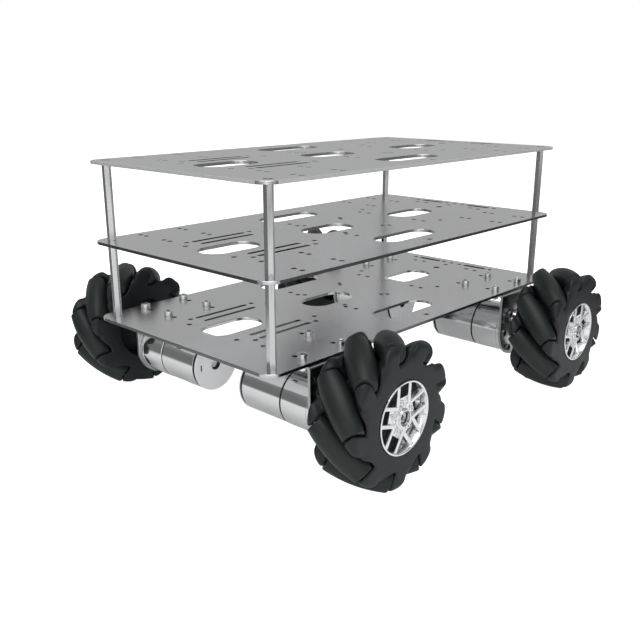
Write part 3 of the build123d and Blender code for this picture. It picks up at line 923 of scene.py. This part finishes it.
def bump(nodes, links, source, distance):
    node = nodes.new("ShaderNodeBump")
    node.inputs["Distance"].default_value = distance
    node.inputs["Strength"].default_value = 1.0
    links.new(source, node.inputs["Height"])
    return node.outputs["Normal"]


PATCH_SCALE, GRAIN_SCALE = 45.0, 2500.0  # waves of noise in a metre, broad and fine
NOISE_RANGE = (0.7, 1.3)  # where most of the sum of the two noises lies


def surface(name, color, metallic, roughness, vary=0.0, tint=0.0, grain=None, relief=0.0, specular=0.5):
    """A principled surface whose roughness and tone vary with two scales of noise.

    vary and tint are how far roughness and tone move either way; grain is (scale, stretch) of the
    fine texture; relief is its depth in metres."""
    material = bpy.data.materials.new(name)
    material.use_nodes = True
    nodes, links = nodes_of(material)
    shader = nodes["Principled BSDF"]
    shader.inputs["Base Color"].default_value = (*color, 1)
    shader.inputs["Metallic"].default_value = metallic
    shader.inputs["Roughness"].default_value = roughness
    shader.inputs["Specular IOR Level"].default_value = specular
    patches = texture(nodes, links, "ShaderNodeTexNoise", PATCH_SCALE, Detail=4.0, Roughness=0.6)
    scale, stretch = grain or (GRAIN_SCALE, EVEN)
    fine = texture(nodes, links, "ShaderNodeTexNoise", scale, stretch, Detail=3.0, Roughness=0.7)
    mixed = nodes.new("ShaderNodeMath")
    mixed.operation = "ADD"
    links.new(patches.outputs["Fac"], mixed.inputs[0])
    links.new(fine.outputs["Fac"], mixed.inputs[1])
    both = mixed.outputs["Value"]
    if vary:
        smoothest = max(roughness - vary, 0.02)
        rough = spread(nodes, links, both, smoothest, roughness + vary, *NOISE_RANGE)
        links.new(rough, shader.inputs["Roughness"])
    if tint:
        tone = spread(nodes, links, both, 1 - tint, 1 + tint, *NOISE_RANGE)
        paint = nodes.new("ShaderNodeVectorMath")
        paint.operation = "SCALE"
        paint.inputs[0].default_value = color
        links.new(tone, paint.inputs["Scale"])
        links.new(paint.outputs["Vector"], shader.inputs["Base Color"])
    if relief:
        links.new(bump(nodes, links, fine.outputs["Fac"], relief), shader.inputs["Normal"])
    return material


EVEN, ALONG_X, ALONG_Y, ALONG_Z = (1, 1, 1), (0.02, 1, 1), (1, 0.04, 1), (1, 1, 0.02)


def metal(name, grey, roughness, vary, tint, grain=None, relief=0.0):
    """A bare metal whose tone is a grey with a little more blue than red."""
    return surface(name, grey, 1.0, roughness, vary, tint, grain, relief)


LOOK = {
    "deck": metal("deck_satin", (0.74, 0.744, 0.75), 0.24, 0.02, 0.02, (1800.0, ALONG_X), 1.5e-6),
    # painted shade: the lower decks' straight edges and every deck's narrow holes get a dark grey that
    # stands in for their dark reflections and shade
    "deck_edge_painted_shade": metal(
        "deck_cut_edge_painted_shade", (0.18, 0.182, 0.185), 0.25, 0.06, 0.1, (1500.0, ALONG_X), 3e-6
    ),
    # painted light: the top deck's straight edges get a lighter grey than the lower decks' edges,
    # standing in for the light that reaches the top deck
    "top_edge_painted_light": surface(
        "top_deck_edge_painted_light", (0.56, 0.562, 0.566), 0.3, 0.4, 0.06, 0.05, (1500.0, ALONG_X), 1e-6
    ),
    # painted highlight: slanted corners and window walls of the decks get a lighter grey that stands in
    # for their bright highlights
    "deck_corner_painted_highlight": metal("deck_corner_painted_highlight", (0.62, 0.622, 0.626), 0.25, 0.05, 0.05),
    "standoff": metal(
        "standoff_bar", (0.64, 0.645, 0.65), 0.22, 0.04, 0.03, (1600.0, ALONG_Z), 4e-7
    ),
    "fastener": metal("zinc_screw", (0.82, 0.825, 0.83), 0.22, 0.06, 0.05, (2200.0, EVEN), 2e-6),
    # painted shade: a dark grey for the screws on the gearbox faces, which sit in shade between bracket
    # and wheel; the standoff screws use the same dark grey
    "dark_screw_painted_shade": metal("dark_screw_painted_shade", (0.16, 0.162, 0.165), 0.35, 0.06, 0.05, (2200.0, EVEN), 2e-6),
    "bracket": metal(
        "bracket_sheet", (0.55, 0.555, 0.56), 0.14, 0.03, 0.02, (1600.0, ALONG_X), 1.5e-6
    ),
    "bracket_edge": metal("bracket_cut_edge", (0.45, 0.455, 0.46), 0.3, 0.05, 0.03),
    "motor_case": metal(
        "polished_case", (0.78, 0.785, 0.79), 0.09, 0.02, 0.02, (900.0, ALONG_Y), 3e-7
    ),
    "motor_cap": surface(
        "cap_disc", (0.9, 0.905, 0.91), 0.12, 0.4, 0.05, 0.03, (2000.0, EVEN), 2e-6
    ),
    "black_plastic": surface(
        "black_moulding", (0.0135, 0.0155, 0.0178), 0.0, 0.42, 0.05, 0.2, (1400.0, EVEN), 1e-5, 0.3
    ),
    "roller": surface(
        "roller_rubber", (0.012, 0.0165, 0.0155), 0.0, 0.45, 0.06, 0.3, (1900.0, EVEN), 2e-5, 0.34
    ),
    "rim": metal("bright_rim", (0.9, 0.905, 0.91), 0.14, 0.03, 0.02, (600.0, EVEN), 5e-7),
    "steel": metal("turned_steel", (0.5, 0.505, 0.51), 0.2, 0.05, 0.04, (1500.0, EVEN), 2e-6),
}


# ================================================================ pieces on their bodies


def mount_piece(obj, body, slot, *nodes):
    """Tie a finished piece to its body, and hide the CAD nodes that it replaces. The slot argument is
    not used.
    """
    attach(obj, body)
    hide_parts(*nodes)


def build_chassis():
    for level, name in enumerate(("bottom_plate", "middle_plate", "top_plate")):
        z = PLATE_Z + PITCH * level
        deck = slab(top_loops(name), z, z + PLATE_T, 0.18)
        # the decks' edge, corner and hole looks hold painted shade and painted highlight, and the
        # straight edges are chosen by deck level
        edge = "top_edge_painted_light" if name == "top_plate" else "deck_edge_painted_shade"
        look = [LOOK["deck"], LOOK[edge], LOOK["deck_corner_painted_highlight"], LOOK["deck_edge_painted_shade"]]
        mount_piece(deck.build(f"{name}_look", look), "chassis", "deck", name)
    lower = standoffs_solid(PLATE_Z + PLATE_T, True)
    upper = standoffs_solid(PLATE_Z + PLATE_T + PITCH, False)
    # node, solid, slot, the look of its faces with tag 0, and the look of the others
    pieces = [
        ("lower_standoffs", lower, "standoff", "standoff", "standoff"),
        ("upper_standoffs", upper, "standoff", "standoff", "standoff"),
        ("standoff_screws", post_screws_solid(), "fastener", "dark_screw_painted_shade", "dark_screw_painted_shade"),
        ("bracket_screws", deck_screws_solid(), "fastener", "fastener", "fastener"),
        # the gearbox screws' dark grey is painted shade
        ("gearbox_screws", face_screws_solid(), "fastener", "dark_screw_painted_shade", "dark_screw_painted_shade"),
        ("motor_brackets", each_corner(bracket_solid()), "bracket", "bracket", "bracket_edge"),
        ("gearboxes", each_corner(gearbox_solid()), "motor_case", "motor_case", "motor_case"),
        ("motor_cans", each_corner(can_solid()), "motor_case", "motor_case", "black_plastic"),
        ("motor_end_caps", each_corner(cap_solid()), "motor_cap", "motor_cap", "motor_cap"),
    ]
    for node, solid, slot, first, other in pieces:
        obj = solid.build(f"{node}_look", [LOOK[first]] + [LOOK[other]] * 3)
        mount_piece(obj, "chassis", slot, node)
    necks = each_corner(neck_solid()).build("motor_necks_look", [LOOK["black_plastic"]])
    mount_piece(necks, "chassis", "black_plastic", "motor_end_caps")


def shared_mesh(solid, name, look):
    """Mesh data of a solid that several objects share."""
    obj = solid.build(name, [LOOK[look]])
    mesh = obj.data
    bpy.data.objects.remove(obj)
    return mesh


HUB_BOX = ((-44.8, -18.6, -44.8), (44.8, 18.6, 44.8))  # a little larger than the shape
RIM_BOX = ((-22.0, 4.4, -22.0), (22.0, 18.4, 22.0))


def build_wheels():
    hub = field_mesh("wheel_hub", hub_field, *HUB_BOX, HUB_STEP)
    hub.materials.append(LOOK["black_plastic"])
    rim = field_mesh("wheel_rim", rim_field, *RIM_BOX, RIM_STEP)
    rim.materials.append(LOOK["rim"])
    axle = shared_mesh(axle_solid(), "wheel_axle", "steel")
    roller = shared_mesh(roller_solid(), "wheel_roller", "roller")
    parts = ((hub, "hub", "black_plastic"), (rim, "rim", "rim"), (axle, "axle_and_pins", "steel"))
    for corner, (side_x, side_y) in CORNERS.items():
        place = wheel_matrix(side_x, side_y)
        for mesh, part, slot in parts:
            obj = placed(mesh, f"{corner}_{part}_look", place)
            mount_piece(obj, f"{corner}_wheel", slot, f"{corner}_{part}")
        for number in range(ROLLERS):
            node = f"{corner}_roller_{number + 1}"
            obj = placed(roller, f"{node}_look", place @ roller_matrix(number))
            mount_piece(obj, node, "roller", node)


# ================================================================ studio

# sockets of a Mix node, by number: its inputs A and B and its result, for colours and for values
COLOR_A, COLOR_B, COLOR_RESULT = 6, 7, 2
VALUE_A, VALUE_B, VALUE_RESULT = 2, 3, 0


def camera_switch(nodes, links, seen, otherwise):
    """One value for what the camera sees directly, another for light and reflections."""
    path = nodes.new("ShaderNodeLightPath")
    return spread(nodes, links, path.outputs["Is Camera Ray"], otherwise, seen, 0.0, 1.0)


def pointing(nodes, links, vector, axis, both_ways):
    """How far a vector reaches along a level axis; both_ways gives its size without its sign."""
    dot = nodes.new("ShaderNodeVectorMath")
    dot.operation = "DOT_PRODUCT"
    dot.inputs[1].default_value = axis
    links.new(vector, dot.inputs[0])
    if not both_ways:
        return dot.outputs["Value"]
    size = nodes.new("ShaderNodeMath")
    size.operation = "ABSOLUTE"
    links.new(dot.outputs["Value"], size.inputs[0])
    return size.outputs["Value"]


ACROSS, BEYOND = (0.71, -0.704, 0.0), (-0.733, -0.68, 0.0)  # the sky is darker along these


def build_world():
    """White to the camera; to everything else a sky that is bright low down, dim overhead and
    darker to both sides and far beyond the object."""
    world = bpy.data.worlds.new("studio")
    bpy.context.scene.world = world
    world.use_nodes = True
    nodes, links = world.node_tree.nodes, world.node_tree.links
    background = nodes["Background"]
    place = nodes.new("ShaderNodeTexCoord")
    split = nodes.new("ShaderNodeSeparateXYZ")
    ramp = nodes.new("ShaderNodeValToRGB")
    pick = nodes.new("ShaderNodeMix")
    path = nodes.new("ShaderNodeLightPath")
    pick.data_type = "RGBA"
    links.new(place.outputs["Generated"], split.inputs["Vector"])
    links.new(split.outputs["Z"], ramp.inputs["Fac"])
    links.new(path.outputs["Is Camera Ray"], pick.inputs["Factor"])
    dark = nodes.new("ShaderNodeVectorMath")
    dark.operation = "SCALE"
    links.new(ramp.outputs["Color"], dark.inputs[0])
    aside = pointing(nodes, links, place.outputs["Generated"], ACROSS, True)
    beyond = pointing(nodes, links, place.outputs["Generated"], BEYOND, False)
    both = nodes.new("ShaderNodeMath")
    both.operation = "MULTIPLY"
    links.new(spread(nodes, links, aside, 1.0, 0.2, 0.6, 0.97), both.inputs[0])
    links.new(spread(nodes, links, beyond, 1.0, 0.5, 0.7, 0.93), both.inputs[1])
    links.new(both.outputs["Value"], dark.inputs["Scale"])
    links.new(dark.outputs["Vector"], pick.inputs[COLOR_A])
    pick.inputs[COLOR_B].default_value = (1, 1, 1, 1)
    links.new(pick.outputs[COLOR_RESULT], background.inputs["Color"])
    stops = ramp.color_ramp.elements
    stops[0].position, stops[0].color = 0.0, (0.92, 0.92, 0.93, 1)
    stops[1].position, stops[1].color = 1.0, (0.3, 0.3, 0.31, 1)
    for position, value in ((0.35, 0.9), (0.6, 0.45)):
        stops.new(position).color = (value, value, value, 1)
    background.inputs["Strength"].default_value = 1.0


def area_light(name, place, aim, size, power, glossy=True):
    """A soft light in watts; one that isn't glossy lights surfaces but makes no reflections."""
    data = bpy.data.lights.new(name, "AREA")
    data.shape = "RECTANGLE"
    data.size, data.size_y = size
    data.energy = power
    obj = bpy.data.objects.new(name, data)
    obj.visible_glossy = glossy
    bpy.context.scene.collection.objects.link(obj)
    obj.location = place
    obj.rotation_euler = (Vector(aim) - Vector(place)).to_track_quat("-Z", "Y").to_euler()
    return obj


FLOOR_R, FLOOR_Z, FLOOR_SIDES = 2500, -0.3, 96
FLOOR_WHITE, FLOOR_DARK = 0.86, 0.1


def build_floor():
    """A white disc just under the wheels, which looks darker in reflections far to both sides."""
    solid = Solid()
    angles = [2 * math.pi * k / FLOOR_SIDES for k in range(FLOOR_SIDES)]
    solid.verts = [(FLOOR_R * math.cos(a), FLOOR_R * math.sin(a), FLOOR_Z) for a in angles]
    solid.faces, solid.tags = [list(range(FLOOR_SIDES))], [0]
    material = bpy.data.materials.new("floor_white")
    material.use_nodes = True
    nodes, links = nodes_of(material)
    shader = nodes["Principled BSDF"]
    place = nodes.new("ShaderNodeTexCoord")
    aside = pointing(nodes, links, place.outputs["Object"], ACROSS, True)
    path = nodes.new("ShaderNodeLightPath")
    far = spread(nodes, links, aside, FLOOR_WHITE, FLOOR_DARK, 0.27, 0.42)
    tone = nodes.new("ShaderNodeMix")
    links.new(path.outputs["Is Camera Ray"], tone.inputs["Factor"])
    links.new(far, tone.inputs[VALUE_A])
    tone.inputs[VALUE_B].default_value = FLOOR_WHITE
    links.new(tone.outputs[VALUE_RESULT], shader.inputs["Base Color"])
    shader.inputs["Roughness"].default_value = 0.9
    shader.inputs["Specular IOR Level"].default_value = 0.0
    shader.inputs["Emission Color"].default_value = (1, 1, 1, 1)
    links.new(camera_switch(nodes, links, 0.95, 0.12), shader.inputs["Emission Strength"])
    return solid.build("studio_floor", [material])


CAMERA_PLACE = (0.4191, 0.3679, 0.2185)
CAMERA_FORWARD, CAMERA_RIGHT = (-0.69926, -0.652317, -0.292434), (-0.682065, 0.731291, -0.000316)
CAMERA_SENSOR, CAMERA_LENS = 36.0, 43.38


def build_camera():
    """The photograph's viewpoint."""
    data = bpy.data.cameras.new("camera")
    data.sensor_width = CAMERA_SENSOR
    data.lens = CAMERA_LENS
    camera = bpy.data.objects.new("camera", data)
    bpy.context.scene.collection.objects.link(camera)
    forward = Vector(CAMERA_FORWARD).normalized()
    up = Vector(CAMERA_RIGHT).cross(forward).normalized()
    right = forward.cross(up)
    rows = zip(right, up, -forward, CAMERA_PLACE)
    camera.matrix_world = Matrix([*rows, (0, 0, 0, 1)])
    bpy.context.scene.camera = camera


# fineness of the moulded shapes, in millimetres
HUB_STEP, RIM_STEP = ((0.45, 0.24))

build_chassis()
build_wheels()
build_world()
build_camera()
build_floor()
area_light("key", (0.35, 0.25, 1.5), (0, 0, 0.08), (1.2, 1.2), 11)
area_light("side", (0.3, 1.4, 0.5), (0, 0, 0.06), (0.7, 0.7), 3, False)
area_light("front", (1.2, 0.9, 0.3), (0, 0, 0.05), (0.5, 0.5), 5, False)
scene = bpy.context.scene
scene.view_settings.view_transform = "Standard"
scene.view_settings.look = "None"
